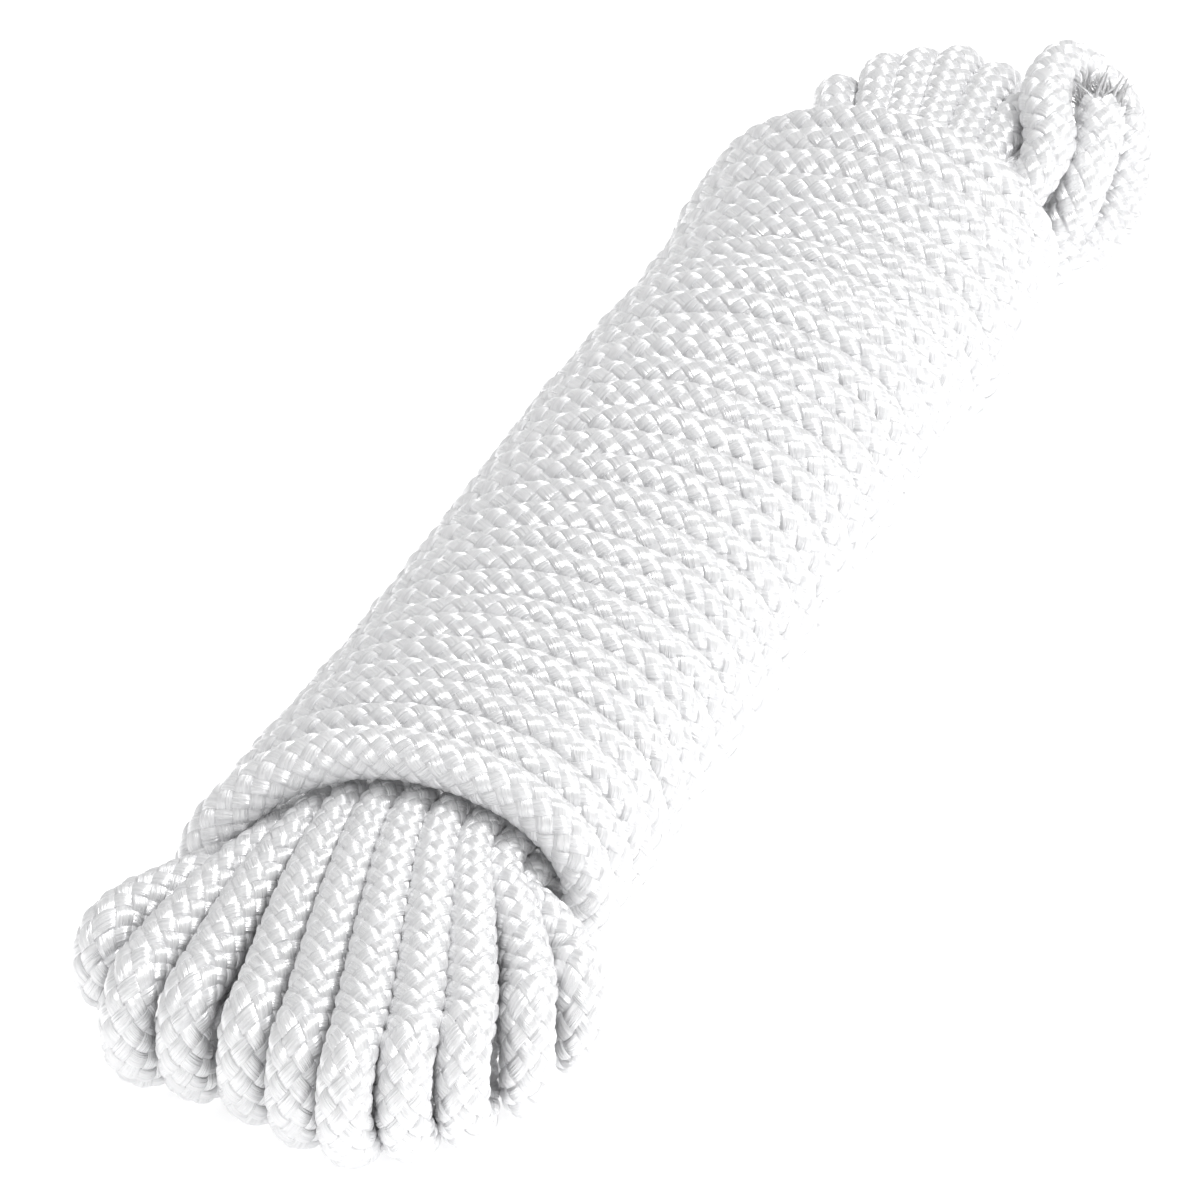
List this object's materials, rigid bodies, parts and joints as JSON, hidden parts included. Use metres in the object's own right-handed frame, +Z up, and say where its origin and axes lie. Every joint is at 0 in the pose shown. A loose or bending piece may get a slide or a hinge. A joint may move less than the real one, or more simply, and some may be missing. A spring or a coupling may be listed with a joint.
{
  "type": "coiled dock line",
  "caption": "Braided dock line made up as a hank: lengthwise loops bound by a close winding, with folds at both ends and the cut end tucked through the tail loop.",
  "frame": {"origin": "middle of the bottom face of the hank's box, on the surface it lies on", "axes": "+X along the hank from the fan of bights at its head to the large loop at its tail, +Y to its left, +Z up"},
  "size_m": [0.3998, 0.0886, 0.0534],
  "materials": {
    "braided_rope": "white braid of glossy flat filament yarns, with fine fibre streaks and a soft sheen",
    "cut_yarns": "loose white filaments of the cut end"
  },
  "bodies": {
    "root": {"winding_turn_01": "braided_rope", "winding_turn_02": "braided_rope", "winding_turn_03": "braided_rope", "winding_turn_04": "braided_rope", "winding_turn_05": "braided_rope", "winding_turn_06": "braided_rope", "winding_turn_07": "braided_rope", "winding_turn_08": "braided_rope", "winding_turn_09": "braided_rope", "winding_turn_10": "braided_rope", "winding_turn_11": "braided_rope", "winding_turn_12": "braided_rope", "winding_turn_13": "braided_rope", "winding_turn_14": "braided_rope", "winding_turn_15": "braided_rope", "winding_turn_16": "braided_rope", "winding_turn_17": "braided_rope", "winding_turn_18": "braided_rope", "winding_turn_19": "braided_rope", "winding_turn_20": "braided_rope", "winding_turn_21": "braided_rope", "winding_turn_22": "braided_rope", "winding_turn_23": "braided_rope", "winding_turn_24": "braided_rope", "winding_turn_25": "braided_rope", "winding_turn_26": "braided_rope", "winding_turn_27": "braided_rope", "winding_turn_28": "braided_rope", "winding_turn_29": "braided_rope", "head_bight_01": "braided_rope", "head_bight_02": "braided_rope", "head_bight_03": "braided_rope", "head_bight_04": "braided_rope", "head_bight_05": "braided_rope", "head_bight_06": "braided_rope", "head_bight_07": "braided_rope", "head_bight_08": "braided_rope", "head_bight_09": "braided_rope", "head_bight_10": "braided_rope", "tail_bight_01": "braided_rope", "tail_bight_02": "braided_rope", "tail_bight_03": "braided_rope", "tail_bight_04": "braided_rope", "tail_bight_05": "braided_rope", "tail_bight_06": "braided_rope", "tail_bight_07": "braided_rope", "tail_bight_08": "braided_rope", "tail_bight_09": "braided_rope", "large_tail_loop": "braided_rope", "skein_legs": "braided_rope", "cut_end": "cut_yarns"}
  },
  "joints": []
}
